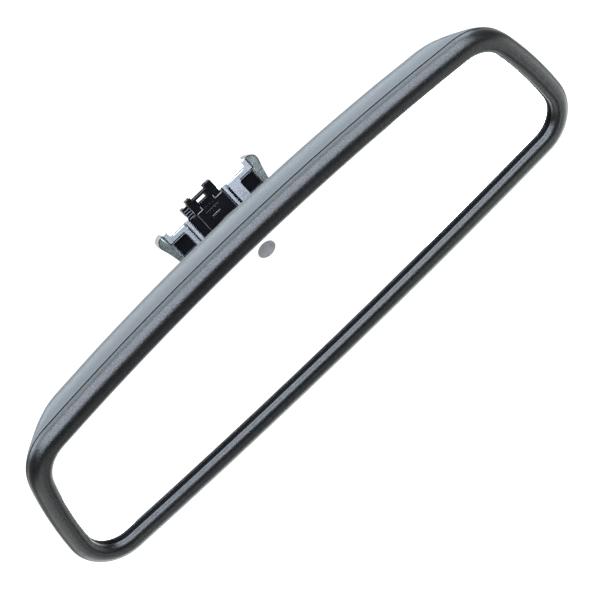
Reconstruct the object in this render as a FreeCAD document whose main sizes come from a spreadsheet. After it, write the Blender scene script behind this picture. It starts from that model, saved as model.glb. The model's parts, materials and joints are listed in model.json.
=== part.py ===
import FreeCAD, Part
import os
import math
import Sketcher
from FreeCAD import Vector, Rotation, Placement

# Interior rear-view mirror, millimetres.
# The origin is the centre of the mounting bracket's seating face, X runs along the
# mirror's width, the glass faces -Y and Z is up. Pieces are modelled in one of two frames:
#   head frame:  origin at the centre of the glass's front face, same directions
#   mount frame: origin at the seat, turned about X so that its Z is the seat's normal
# Left and right are -X and +X, front and back are -Y and +Y.

os.makedirs("parts", exist_ok=True)
doc = FreeCAD.newDocument("rearview_mirror")

# ================================================================ driving dimensions
DIMENSIONS = [
    # outline of the visible glass opening: eight tangent arcs
    ("top_arc_radius", 943.0), ("top_edge_height", 29.3),
    ("bottom_arc_radius", 2440.0), ("bottom_edge_height", 32.1),
    ("side_arc_radius", 156.0), ("side_centre_x", 34.3), ("side_centre_z", 36.0),
    ("top_corner_radius", 14.0), ("bottom_corner_radius", 11.0),
    # front bezel; widths and edges are distances outside the opening's outline
    ("bezel_width", 8.2), ("bezel_front", 3.7), ("bezel_rear", 2.55),
    ("bezel_inner_round", 2.5), ("bezel_outer_round", 4.4),
    ("lip_width", 1.0), ("lip_height", 1.1), ("lip_gap", 0.05),
    ("rebate_width", 3.3),
    ("spigot_inner", 4.4), ("spigot_outer", 5.4), ("spigot_depth", 1.5),
    ("seam_chamfer", 0.3),
    # glass cell
    ("glass_edge", 2.6), ("glass_thick", 1.6), ("gel_thick", 0.2), ("gel_edge", 0.9),
    ("seal_inner", 1.0), ("seal_outer", 2.3), ("clip_gap", 2.65), ("clip_outer", 2.9),
    ("pad_edge", 1.5), ("pad_thick", 0.8),
    ("window_x", 0.4), ("window_height", 23.3),
    ("window_major", 3.77), ("window_minor", 3.08), ("window_proud", 0.3),
    # rear housing
    ("housing_front", 2.93), ("housing_back", 25.5), ("housing_end_back", 21.5),
    ("housing_wall", 2.2), ("skirt_height", 3.1), ("skirt_end_height", 0.6),
    ("taper_from", 96.5), ("taper_to", 116.3), ("taper_angle", 38.3),
    ("shrink_x", 0.223), ("shrink_z", 0.542), ("back_length", 128.8),
    ("neck_flat_radius", 13.5), ("dome_blend", 2.6),
    ("dome_centre", 10.0), ("dome_radius", 31.9), ("dome_flat", 31.0),
    ("opening_radius", 11.2),
    # carrier and electronics
    ("carrier_edge", 3.8), ("carrier_front", 4.3), ("carrier_thick", 1.8),
    ("board_front", 8.2), ("board_thick", 1.2),
    ("board_half_width", 56.0), ("board_half_height", 27.0),
    # ball joint
    ("ball_depth", 22.0), ("ball_radius", 8.5), ("joint_gap", 0.05),
    ("liner_radius", 9.7), ("cup_radius", 10.9),
    ("shell_cut", 4.4), ("stem_radius", 4.0), ("stem_bore", 2.4),
    # bracket
    ("head_y", 63.35), ("head_z", 12.65), ("seat_tilt", 30.0),
    ("bracket_half_width", 22.6), ("bracket_half_depth", 12.0),
    ("bracket_height", 20.0), ("bracket_wall", 2.0),
    ("seat_thick", 2.2), ("seat_front", 4.0),
    ("screw_hole_radius", 2.15), ("screw_hole_x", 14.0), ("screw_hole_y", 5.0),
    ("hook_rise", 2.75), ("hook_width", 2.2), ("hook_edge", 22.35),
]
DIM = dict(DIMENSIONS)
dims_sheet = doc.addObject("Spreadsheet::Sheet", "dims")
for row, (alias, number) in enumerate(DIMENSIONS, start=1):
    dims_sheet.set("A%d" % row, alias)
    dims_sheet.set("B%d" % row, repr(number))
    dims_sheet.setAlias("B%d" % row, alias)
doc.recompute()


def as_terms(size):
    return size if isinstance(size, tuple) else (size,)


def measure(size):
    """Value of a size and the formula that drives it.

    A size is a plain number, which has no formula, the name of a driving dimension, or a
    tuple of names and numbers to be added up. A name with a minus sign is subtracted.
    """
    if isinstance(size, (int, float)):
        return float(size), None
    value, formula = 0.0, "0"
    for term in as_terms(size):
        if isinstance(term, str):
            alias = term.lstrip("-")
            negative = term != alias
            amount, text = DIM[alias], "dims." + alias
        else:
            negative = term < 0
            amount = abs(float(term))
            text = repr(amount)
        value += -amount if negative else amount
        formula += (" - " if negative else " + ") + text
    return value, formula


def drive(item, prop, size):
    """Set a property to a size and bind it to the size's formula."""
    value, formula = measure(size)
    setattr(item, prop, value)
    if formula:
        item.setExpression(prop, formula)


# ================================================================ frames and nodes
HEAD_FRAME = Placement(Vector(0, -DIM["head_y"], -DIM["head_z"]), Rotation())
MOUNT_FRAME = Placement(Vector(0, 0, 0), Rotation(Vector(1, 0, 0), -DIM["seat_tilt"]))
NODES = []      # the finished pieces, each written to a file named by its Label

# the stud's axis is the head frame's Y, here seen in the mount frame
TILT_COS = math.cos(math.radians(DIM["seat_tilt"]))
TILT_SIN = math.sin(math.radians(DIM["seat_tilt"]))
STUD_AXIS = (0.0, TILT_COS, TILT_SIN)


def stud_point(head_y):
    """The mount frame's point at a depth on the head frame's Y axis."""
    y, z = head_y - DIM["head_y"], -DIM["head_z"]
    return (0.0, y * TILT_COS - z * TILT_SIN, y * TILT_SIN + z * TILT_COS)


def in_head(piece):
    piece.Placement = HEAD_FRAME
    piece.setExpression("Placement.Base.y", "-dims.head_y")
    piece.setExpression("Placement.Base.z", "-dims.head_z")
    NODES.append(piece)


def in_mount(piece):
    piece.Placement = MOUNT_FRAME
    NODES.append(piece)


# ================================================================ the head's outline
def fillet_centre(centre_1, radius_1, centre_2, radius_2, radius):
    """Centre, on the right, of the circle that touches two circles from inside."""
    apart = math.hypot(centre_2[0] - centre_1[0], centre_2[1] - centre_1[1])
    reach_1, reach_2 = radius_1 - radius, radius_2 - radius
    along = (apart * apart + reach_1 * reach_1 - reach_2 * reach_2) / (2 * apart)
    aside = math.sqrt(reach_1 * reach_1 - along * along)
    unit_x = (centre_2[0] - centre_1[0]) / apart
    unit_z = (centre_2[1] - centre_1[1]) / apart
    return max((centre_1[0] + unit_x * along - side * unit_z * aside,
                centre_1[1] + unit_z * along + side * unit_x * aside) for side in (1, -1))


def outline_arcs():
    """The opening's arcs, counterclockwise from the top one.

    Columns: name of the radius, centre x, centre z, start and end angle.
    """
    top = (0.0, DIM["top_edge_height"] - DIM["top_arc_radius"])
    bottom = (0.0, DIM["bottom_arc_radius"] - DIM["bottom_edge_height"])
    side = (-DIM["side_centre_x"], -DIM["side_centre_z"])
    side_radius = DIM["side_arc_radius"]
    upper = fillet_centre(top, DIM["top_arc_radius"], side, side_radius,
                          DIM["top_corner_radius"])
    lower = fillet_centre(bottom, DIM["bottom_arc_radius"], side, side_radius,
                          DIM["bottom_corner_radius"])

    def angle(centre, point):
        return math.atan2(point[1] - centre[1], point[0] - centre[0])

    pi = math.pi
    at_top, at_bottom = angle(top, upper), angle(bottom, lower)
    side_top, side_bottom = angle(side, upper), angle(side, lower)
    return [
        ("top_arc_radius", top[0], top[1], at_top, pi - at_top),
        ("top_corner_radius", -upper[0], upper[1], pi - at_top, pi - side_top),
        ("side_arc_radius", -side[0], side[1], pi - side_top, pi - side_bottom),
        ("bottom_corner_radius", -lower[0], lower[1], pi - side_bottom, pi - at_bottom),
        ("bottom_arc_radius", bottom[0], bottom[1], -pi - at_bottom, at_bottom),
        ("bottom_corner_radius", lower[0], lower[1], at_bottom, side_bottom),
        ("side_arc_radius", side[0], side[1], side_bottom, side_top),
        ("top_corner_radius", upper[0], upper[1], side_top, at_top),
    ]


OUTLINE = outline_arcs()
# where the edge arcs' centres lie: index in OUTLINE, x (None: on the Z axis), z
ARC_CENTRES = [
    (0, None, ("top_edge_height", "-top_arc_radius")),
    (4, None, ("bottom_arc_radius", "-bottom_edge_height")),
    (2, "side_centre_x", "-side_centre_z"),
    (6, "-side_centre_x", "-side_centre_z"),
]


def outline_distance(x, z, slack, otherwise):
    """Signed distance of a point from the opening's outline, negative inside.

    slack widens the arcs' angles, otherwise is the answer where no arc faces the point.
    """
    best = None
    for radius_name, centre_x, centre_z, start, end in OUTLINE:
        angle = math.atan2(z - centre_z, x - centre_x)
        for turn in (-2, 0, 2):
            if start - slack <= angle + turn * math.pi <= end + slack:
                gap = math.hypot(x - centre_x, z - centre_z) - DIM[radius_name]
                if best is None or abs(gap) < abs(best):
                    best = gap
    return otherwise if best is None else best


# ================================================================ sketch and body helpers
def new_body(name):
    return doc.addObject("PartDesign::Body", name)


def new_sketch(body, name, position, role="XZ_Plane"):
    """Sketch in the plane at a position along Y, or along Z for the XY plane."""
    value, formula = measure(position)
    if role == "XZ_Plane":      # the normal of this plane points to -Y
        value = -value
        formula = formula and "-(%s)" % formula
    support = [item for item in body.Origin.OriginFeatures if item.Role == role][0]
    sketch = body.newObject("Sketcher::SketchObject", name)
    sketch.AttachmentSupport = [(support, "")]
    sketch.MapMode = "FlatFace"
    sketch.AttachmentOffset = Placement(Vector(0, 0, value), Rotation())
    if formula:
        sketch.setExpression("AttachmentOffset.Base.z", formula)
    return sketch


def extrude(body, kind, name, sketch, length, reverse=False):
    """Pad or Pocket. From an XZ sketch a pad runs to -Y and a pocket to +Y."""
    item = body.newObject("PartDesign::" + kind, name)
    item.Profile = sketch
    drive(item, "Length", length)
    item.Reversed = reverse
    sketch.Visibility = False
    return item


def constrain(sketch, size, kind, *where):
    value, formula = measure(size)
    index = sketch.addConstraint(Sketcher.Constraint(kind, *where, value))
    sketch.setExpression("Constraints[%d]" % index, formula)


def add_outline(sketch, outset):
    """The opening's outline moved out by a size, as constrained arcs."""
    first = sketch.GeometryCount
    for radius_name, centre_x, centre_z, start, end in OUTLINE:
        circle = Part.Circle(Vector(centre_x, centre_z, 0), Vector(0, 0, 1),
                             DIM[radius_name] + measure(outset)[0])
        sketch.addGeometry(Part.ArcOfCircle(circle, start, end), False)
    for i in range(8):
        sketch.addConstraint(
            Sketcher.Constraint("Tangent", first + i, 2, first + (i + 1) % 8, 1))
    for i, arc in enumerate(OUTLINE):
        constrain(sketch, (arc[0],) + as_terms(outset), "Radius", first + i)
    for i, centre_x, centre_z in ARC_CENTRES:
        if centre_x is None:
            sketch.addConstraint(Sketcher.Constraint("PointOnObject", first + i, 3, -2))
        else:
            constrain(sketch, centre_x, "DistanceX", -1, 1, first + i, 3)
        constrain(sketch, centre_z, "DistanceY", -1, 1, first + i, 3)


def add_blocked(sketch, geometry):
    index = sketch.addGeometry(geometry, False)
    sketch.addConstraint(Sketcher.Constraint("Block", index))


def add_window(sketch, grow):
    """The sensor window's ellipse with both half axes grown."""
    centre = Vector(DIM["window_x"], DIM["window_height"], 0)
    add_blocked(sketch, Part.Ellipse(centre, DIM["window_major"] + grow,
                                     DIM["window_minor"] + grow))


def add_rounded(sketch, corners):
    """Closed polygon from rows of x, y and corner radius in the sketch's plane."""
    count = len(corners)
    ends = []       # for each corner: where it starts, where it ends, its arc
    for i in range(count):
        corner, radius = Vector(corners[i][0], corners[i][1], 0), corners[i][2]
        if radius <= 0:
            ends.append((corner, corner, None))
            continue
        before, after = corners[i - 1], corners[(i + 1) % count]
        backward = (Vector(before[0], before[1], 0) - corner).normalize()
        forward = (Vector(after[0], after[1], 0) - corner).normalize()
        half_angle = backward.getAngle(forward) / 2
        setback = radius / math.tan(half_angle)
        start, end = corner + backward * setback, corner + forward * setback
        bisector = (backward + forward).normalize()
        centre = corner + bisector * (radius / math.sin(half_angle))
        middle = centre + (corner - centre).normalize() * radius
        ends.append((start, end, Part.Arc(start, middle, end)))
    for i in range(count):
        if ends[i][2] is not None:
            add_blocked(sketch, ends[i][2])
        start, end = ends[i][1], ends[(i + 1) % count][0]
        if (end - start).Length > 1e-6:
            add_blocked(sketch, Part.LineSegment(start, end))


def add_spline_loop(sketch, curve_points, corners):
    """A spline through points, closed by straight lines over the corners."""
    spline = Part.BSplineCurve()
    spline.interpolate(curve_points)
    add_blocked(sketch, spline)
    path = [curve_points[-1]] + corners + [curve_points[0]]
    for start, end in zip(path, path[1:]):
        add_blocked(sketch, Part.LineSegment(start, end))


def slab(name, outset, front, thick, inner=None, window=None):
    """Plate of the head's outline, or a ring when inner is given, from a depth backward."""
    body = new_body(name)
    sketch = new_sketch(body, name + "_outline", front)
    add_outline(sketch, outset)
    if inner is not None:
        add_outline(sketch, inner)
    if window is not None:
        add_window(sketch, window)
    extrude(body, "Pad", name + "_pad", sketch, thick, reverse=True)
    return body


def edges_in_plane(shape, y, outset=None):
    """Names of the edges in the plane y, or only those about outset from the opening."""
    names = []
    for number, edge in enumerate(shape.Edges, start=1):
        bounds = edge.BoundBox
        if abs(bounds.YMin - y) > 1e-3 or abs(bounds.YMax - y) > 1e-3:
            continue
        if outset is not None:
            middle = edge.valueAt((edge.FirstParameter + edge.LastParameter) / 2)
            distance = outline_distance(middle.x, middle.z, 1e-4, 999.0)
            if abs(distance - outset) > 0.5:
                continue
        names.append("Edge%d" % number)
    return names


def dress(body, kind, name, base, size, y, outset=None):
    """Fillet or Chamfer on the edges that edges_in_plane picks."""
    doc.recompute()
    names = edges_in_plane(base.Shape, y, outset)
    if not names:
        raise RuntimeError("no edges for " + name)
    item = body.newObject("PartDesign::" + kind, name)
    item.Base = (base, names)
    drive(item, "Radius" if kind == "Fillet" else "Size", size)
    doc.recompute()
    return item


# ================================================================ solid helpers
def along(axis):
    return Rotation(Vector(0, 0, 1), Vector(*axis))


def cylinder(name, radius, length, base, axis=(0, 1, 0)):
    item = doc.addObject("Part::Cylinder", name)
    drive(item, "Radius", radius)
    drive(item, "Height", length)
    item.Placement = Placement(Vector(*base), along(axis))
    return item


def y_cylinder(name, radius, y_start, y_end, x=0.0, z=0.0):
    return cylinder(name, radius, y_end - y_start, (x, y_start, z))


def stud_cylinder(name, radius, y_start, y_end):
    """Cylinder on the stud's axis in the mount frame, between depths of the head frame."""
    return cylinder(name, radius, y_end - y_start, stud_point(y_start), STUD_AXIS)


def cone(name, start_radius, end_radius, length, base, axis=(0, 1, 0)):
    item = doc.addObject("Part::Cone", name)
    item.Radius1 = start_radius
    item.Radius2 = end_radius
    item.Height = length
    item.Placement = Placement(Vector(*base), along(axis))
    return item


def ball(name, radius, centre):
    item = doc.addObject("Part::Sphere", name)
    drive(item, "Radius", radius)
    item.Placement = Placement(Vector(*centre), Rotation(Vector(1, 0, 0), 90))
    return item


def box(name, low, high):
    item = doc.addObject("Part::Box", name)
    item.Length = high[0] - low[0]
    item.Width = high[1] - low[1]
    item.Height = high[2] - low[2]
    item.Placement = Placement(Vector(*low), Rotation())
    return item


def boxes(prefix, table):
    """Boxes from rows of name, low corner and high corner."""
    return [box(prefix + name, low, high) for name, low, high in table]


def fuse(name, *pieces):
    item = doc.addObject("Part::MultiFuse", name)
    item.Shapes = list(pieces)
    item.Refine = True
    return item


def fuse_chain(name, first, *others):
    """A union made one piece at a time."""
    result = first
    for i, piece in enumerate(others):
        last = i == len(others) - 1
        item = doc.addObject("Part::Fuse", name if last else "%s_%d" % (name, i))
        item.Base = result
        item.Tool = piece
        result = item
    return result


def cut(name, base, *tools):
    item = doc.addObject("Part::Cut", name)
    item.Base = base
    item.Tool = tools[0] if len(tools) == 1 else fuse(name + "_tools", *tools)
    return item


def common(name, *pieces):
    item = doc.addObject("Part::MultiCommon", name)
    item.Shapes = list(pieces)
    return item


def group(name, pieces):
    """Pieces of one node that stay separate solids."""
    item = doc.addObject("Part::Compound", name)
    item.Links = pieces
    return item


def pan_screw(name, x, z, seat_y, shank_radius, length, head_radius, head_height):
    """Pan-head screw: the shank runs forward of the seat, the recessed head behind it."""
    top = seat_y + head_height
    shank = y_cylinder(name + "_shank", shank_radius, seat_y - length, seat_y, x, z)
    head = y_cylinder(name + "_head", head_radius, seat_y, top, x, z)
    recess = y_cylinder(name + "_recess", head_radius * 0.42, top - head_height * 0.55,
                        top + 0.01, x, z)
    return cut(name + "_one", fuse(name + "_solid", shank, head), recess)


def round_lead(name, points, radius):
    """Round lead along a smooth curve through points."""
    spline = Part.BSplineCurve()
    spline.interpolate([Vector(*point) for point in points])
    tangent = spline.tangent(spline.FirstParameter)[0]
    section = Part.Wire([Part.Circle(Vector(*points[0]), tangent, radius).toShape()])
    item = doc.addObject("Part::Feature", name)
    item.Shape = Part.Wire([spline.toShape()]).makePipeShell([section], True, False)
    return item


# ================================================================ bezel and glass cell
BEHIND = 20.0       # a depth behind the bezel, from which pockets are cut forward

# sketch, kind, feature, sketch's depth, outset of the outline, length, reversed
BEZEL_STEPS = [
    ("bezel", "Pad", "bezel_pad", "bezel_rear", "bezel_width",
     ("bezel_front", "bezel_rear"), False),
    ("spigot", "Pad", "spigot_pad", "bezel_rear", "spigot_outer", "spigot_depth", True),
    ("opening", "Pocket", "opening_cut", "-bezel_front", 0.0, 40.0, False),
    ("lip_groove", "Pocket", "lip_groove", BEHIND, ("lip_width", "lip_gap"),
     (BEHIND, "lip_height", "lip_gap"), True),
    ("rebate", "Pocket", "rebate", BEHIND, "rebate_width", BEHIND + 0.03, True),
    ("spigot_inside", "Pocket", "spigot_inside", BEHIND, "spigot_inner",
     (BEHIND, "-bezel_rear"), True),
]


def make_bezel():
    """Moulded ring with a round front, a rebate for the glass and a spigot behind."""
    body = new_body("bezel")
    for sketch_name, kind, name, depth, outset, length, reverse in BEZEL_STEPS:
        sketch = new_sketch(body, sketch_name + "_outline", depth)
        add_outline(sketch, outset)
        last = extrude(body, kind, name, sketch, length, reverse)
    front, width = -DIM["bezel_front"], DIM["bezel_width"]
    last = dress(body, "Fillet", "bezel_outer_fillet", last, "bezel_outer_round",
                 front, width)
    last = dress(body, "Fillet", "bezel_inner_fillet", last, "bezel_inner_round", front, 0.0)
    dress(body, "Chamfer", "bezel_seam_chamfer", last, "seam_chamfer",
          DIM["bezel_rear"], width)
    in_head(body)


def make_glass_cell():
    """Soft lip, then two glass plates with gel and seal between, then the foam pad."""
    clear = 0.05        # between the window and its holes through the cell
    pad_gap = 0.02
    behind_gel = ("glass_thick", "gel_thick")
    behind_cell = ("glass_thick", "glass_thick", "gel_thick", pad_gap)
    in_head(slab("lip_seal", "lip_width", "-lip_height", "lip_height", inner=0.02))
    in_head(slab("front_glass", "glass_edge", 0.0, "glass_thick", window=clear))
    in_head(slab("dimming_gel", "gel_edge", "glass_thick", "gel_thick", window=clear))
    in_head(slab("cell_seal", "seal_outer", "glass_thick", "gel_thick", inner="seal_inner"))
    in_head(slab("rear_glass", "glass_edge", behind_gel, "glass_thick", window=clear))
    in_head(slab("foam_pad", "pad_edge", behind_cell, ("pad_thick", -pad_gap), window=1.2))


def make_contact_strips():
    """Spring contact strips on the cell's upper and lower edges."""
    half_length = 92
    for name, z_low, z_high in (("contact_strip_top", 20.0, 40.0),
                                ("contact_strip_bottom", -40.0, -20.0)):
        ring = slab(name + "_ring", "clip_outer", 0.25, 3.1, inner="clip_gap")
        span = box(name + "_span", (-half_length, -1, z_low), (half_length, 6, z_high))
        in_head(common(name, ring, span))


def make_sensor_window():
    """Oval window of the glare sensor, a shallow lens that fills the cleared spot."""
    body = new_body("sensor_window")
    sketch = new_sketch(body, "window_outline", "-window_proud")
    add_window(sketch, 0.0)
    pad = extrude(body, "Pad", "window_pad", sketch,
                  ("glass_thick", "glass_thick", "gel_thick", "window_proud"), reverse=True)
    dress(body, "Fillet", "window_round", pad, 0.25, -DIM["window_proud"])
    in_head(body)


# ================================================================ carrier plate
CARRIER_FRONT = DIM["carrier_front"]
CARRIER_BACK = CARRIER_FRONT + DIM["carrier_thick"]
WINDOW_X, WINDOW_Z = DIM["window_x"], DIM["window_height"]
BOARD_SCREWS = [(-50, -21), (50, -21), (-50, 21), (50, 21)]     # x, z
CASE_SCREWS = [(-88, -17), (88, -17), (-88, 15), (88, 15)]      # x, z
LONG_RIBS = [(-110, -62, -9), (-110, -62, 5), (62, 110, -9), (62, 110, 5)]  # x, x, low z
CROSS_RIBS = (-104, -76, 75, 103)                               # left face x


def make_carrier_plate():
    """Stiff moulded plate behind the glass with ribs, board standoffs and holes."""
    sunk, rib_height, rib_thick = 0.3, 2.2, 1.2
    rib_front, rib_back = CARRIER_BACK - sunk, CARRIER_BACK + rib_height
    plate = slab("carrier_plate_base", "carrier_edge", "carrier_front", "carrier_thick")
    solids = [plate]
    for i, (x, z) in enumerate(BOARD_SCREWS):
        # starts 0.5 inside the plate and stops 0.02 short of the board
        length = ("board_front", "-carrier_front", "-carrier_thick", 0.48)
        solids.append(cylinder("standoff_%d" % i, 2.6, length, (x, CARRIER_BACK - 0.5, z)))
    for i, (x_low, x_high, z) in enumerate(LONG_RIBS):
        solids.append(box("carrier_rib_%d" % i, (x_low, rib_front, z),
                          (x_high, rib_back, z + rib_thick)))
    for i, x in enumerate(CROSS_RIBS):
        solids.append(box("carrier_cross_rib_%d" % i, (x, rib_front, -22),
                          (x + rib_thick, rib_back, 20)))
    solid = fuse("carrier_solid", *solids)
    holes = [y_cylinder("carrier_sensor_hole", 4.6, 3.5, 7.5, WINDOW_X, WINDOW_Z)]
    for i, (x, z) in enumerate(BOARD_SCREWS):
        holes.append(y_cylinder("standoff_hole_%d" % i, 1.15, 2.9, 9.9, x, z))
    for i, (x, z) in enumerate(CASE_SCREWS):
        holes.append(y_cylinder("case_hole_%d" % i, 1.65, 3.5, 11.5, x, z))
        holes.append(cone("case_sink_%d" % i, 3.25, 1.65, 1.6, (x, CARRIER_FRONT - 0.01, z)))
    for i, x in enumerate((-30, 30)):
        holes.append(y_cylinder("carrier_low_hole_%d" % i, 6.0, 3.5, 7.5, x, -20))
    in_head(cut("carrier_plate", solid, *holes))


# ================================================================ ball socket
BALL_Y = DIM["ball_depth"]
BALL_CENTRE = (0.0, BALL_Y, 0.0)
SHELL_END = BALL_Y + DIM["shell_cut"]       # back edge of liner and cup
SOCKET_FRONT = CARRIER_BACK + 0.02
FLANGE_RADIUS = 18.4
CUP_CAVITY = ("cup_radius", "joint_gap")
CUP_FRONT_HOLE_RADIUS = 3.9
RETAINER_BACK = BALL_Y + 2.0
RETAINER_SCREWS = [(15.9 * math.cos(math.radians(angle)), 15.9 * math.sin(math.radians(angle)))
                   for angle in (90, 210, 330)]     # x, z


def make_socket_liner():
    """Thin acetal liner on the ball."""
    outer = common("liner_outside", ball("liner_ball", "liner_radius", BALL_CENTRE),
                   y_cylinder("liner_slice", 12, BALL_Y - 8.6, SHELL_END))
    in_head(cut("socket_liner", outer,
                ball("liner_bore", ("ball_radius", "joint_gap"), BALL_CENTRE),
                y_cylinder("liner_front_hole", 3.4, 5, 20)))


def make_socket_cup():
    """Pressed steel cup round the liner."""
    outer = common("cup_outside", ball("cup_ball", "cup_radius", BALL_CENTRE),
                   y_cylinder("cup_slice", 13, BALL_Y - 9.8, SHELL_END))
    in_head(cut("socket_cup", outer,
                ball("cup_bore", ("liner_radius", "joint_gap"), BALL_CENTRE),
                y_cylinder("cup_front_hole", CUP_FRONT_HOLE_RADIUS, 5, 20)))


def make_socket_block():
    """Block on the carrier that holds the cup."""
    block = fuse("socket_block_solid",
                 y_cylinder("socket_barrel", 14.4, SOCKET_FRONT, BALL_Y),
                 y_cylinder("socket_flange", FLANGE_RADIUS, BALL_Y - 3.6, BALL_Y),
                 y_cylinder("socket_foot", 17.5, SOCKET_FRONT, CARRIER_BACK + 1.9))
    tools = [ball("socket_cavity", CUP_CAVITY, BALL_CENTRE),
             y_cylinder("socket_floor_hole", CUP_FRONT_HOLE_RADIUS, 5, 20),
             y_cylinder("spring_seat", 7.6, BALL_Y - 12.0, BALL_Y - 5),
             box("socket_lead_slot", (0, 5, -1.6), (20, 9.8, 1.6)),
             box("socket_lead_exit", (13.6, 5, -2.4), (20, 18.35, 2.0))]
    for i, (x, z) in enumerate(RETAINER_SCREWS):
        tools.append(y_cylinder("socket_thread_%d" % i, 1.25, BALL_Y - 6, BALL_Y + 1, x, z))
    in_head(cut("socket_block", block, *tools))


def make_socket_retainer():
    """Ring that closes the block over the cup, and its screws."""
    front = BALL_Y + 0.03
    ring = fuse("retainer_solid",
                y_cylinder("retainer_flange", FLANGE_RADIUS, front, RETAINER_BACK),
                y_cylinder("retainer_collar", 13.6, front, SHELL_END + 0.4))
    tools = [ball("retainer_cavity", CUP_CAVITY, BALL_CENTRE)]
    for i, (x, z) in enumerate(RETAINER_SCREWS):
        tools.append(y_cylinder("retainer_hole_%d" % i, 1.4, BALL_Y - 1, BALL_Y + 5, x, z))
    in_head(cut("socket_retainer", ring, *tools))
    in_head(group("retainer_screws", [
        pan_screw("retainer_screw_%d" % i, x, z, RETAINER_BACK + 0.03, shank_radius=1.18,
                  length=6.6, head_radius=2.2, head_height=1.4)
        for i, (x, z) in enumerate(RETAINER_SCREWS)]))


def make_spring_washer():
    """Conical spring washer in front of the cup."""
    front = BALL_Y - 11.6
    outside = cone("washer_outside", 7.2, 6.4, 1.0, (0, front, 0))
    in_head(cut("spring_washer", outside,
                cone("washer_inside", 6.4, 4.4, 1.02, (0, front - 0.01, 0)),
                y_cylinder("washer_hole", 4.4, BALL_Y - 12, BALL_Y - 9)))


# ================================================================ electronics
BOARD_FRONT = DIM["board_front"]
BOARD_BACK = BOARD_FRONT + DIM["board_thick"]
ON_BOARD = BOARD_BACK + 0.05        # where parts on the board's back start
AMBIENT_X, AMBIENT_Z = 42.0, 6.0
# x, z, width, height of the back above the board, size along z
CHIPS = [
    (26, 8, 5, 1.3, 4), (26, 0, 5, 1.3, 4),
    (34, 10, 2, 0.7, 1.25), (34, 7, 2, 0.7, 1.25), (34, 4, 2, 0.7, 1.25),
    (-24, -14, 2, 0.7, 1.25), (-24, -17, 2, 0.7, 1.25), (-28, -14, 2, 0.7, 1.25),
]
# points of the lead from the socket's axis to the plug
HEAD_LEAD = [
    (1.0, 7.7, 0), (5.0, 7.7, 0), (9.0, 7.7, 0), (12.6, 7.9, 0), (15.4, 9.4, -0.2),
    (16.7, 11.6, -0.4), (18.6, 13.6, -0.9), (23.0, 14.6, -3.0), (30.0, 15.4, -8.0),
    (36.0, 17.4, -13.2), (40.7, 17.95, -13.95),
]


def make_circuit_board():
    half_width, half_height = DIM["board_half_width"], DIM["board_half_height"]
    blank = box("board_blank", (-half_width, BOARD_FRONT, -half_height),
                (half_width, BOARD_BACK, half_height))
    drive(blank, "Length", ("board_half_width", "board_half_width"))
    drive(blank, "Width", "board_thick")
    drive(blank, "Height", ("board_half_height", "board_half_height"))
    holes = [y_cylinder("board_socket_hole", 19.0, 5, 12)]
    for i, (x, z) in enumerate(BOARD_SCREWS):
        holes.append(y_cylinder("board_hole_%d" % i, 1.35, 5, 12, x, z))
    in_head(cut("circuit_board", blank, *holes))
    in_head(group("board_screws", [
        pan_screw("board_screw_%d" % i, x, z, BOARD_BACK + 0.02, shank_radius=1.05,
                  length=4.4, head_radius=2.1, head_height=1.3)
        for i, (x, z) in enumerate(BOARD_SCREWS)]))


def make_microcontroller():
    """Square package with pins that pass under it in rows and columns."""
    pin_width, pin_back = 0.4, BOARD_BACK + 0.35
    pieces = [box("controller_body", (-37, BOARD_BACK + 0.25, -4),
                  (-28, BOARD_BACK + 1.6, 5))]
    for i in range(8):
        z, x = -3.3 + i, -36.3 + i
        pieces.append(box("controller_pin_row_%d" % i, (-38.0, ON_BOARD, z),
                          (-27.0, pin_back, z + pin_width)))
        pieces.append(box("controller_pin_column_%d" % i, (x, ON_BOARD, -5.0),
                          (x + pin_width, pin_back, 6.0)))
    in_head(fuse("microcontroller", *pieces))


def make_board_parts():
    """Capacitors and small chips on the board's back."""
    in_head(group("power_capacitors", [
        y_cylinder("capacitor_%d" % i, 3.15, ON_BOARD, BOARD_BACK + 5.9, x, z)
        for i, (x, z) in enumerate([(-46, 8), (-46, 0.5)])]))
    in_head(group("board_chips", [
        box("chip_%d" % i, (x, ON_BOARD, z), (x + width, BOARD_BACK + height, z + depth))
        for i, (x, z, width, height, depth) in enumerate(CHIPS)]))


def make_photodiode(prefix, x, z, body_y, feet_y, dome_y):
    """Photodiode with a domed top; each y argument is a pair of front and back."""
    in_head(fuse(prefix + "_photodiode",
                 box(prefix + "_body", (x - 2.0, body_y[0], z - 1.6),
                     (x + 2.0, body_y[1], z + 1.6)),
                 box(prefix + "_feet", (x - 2.5, feet_y[0], z - 1.0),
                     (x + 2.5, feet_y[1], z + 1.0)),
                 y_cylinder(prefix + "_dome", 1.1, dome_y[0], dome_y[1], x, z)))


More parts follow.
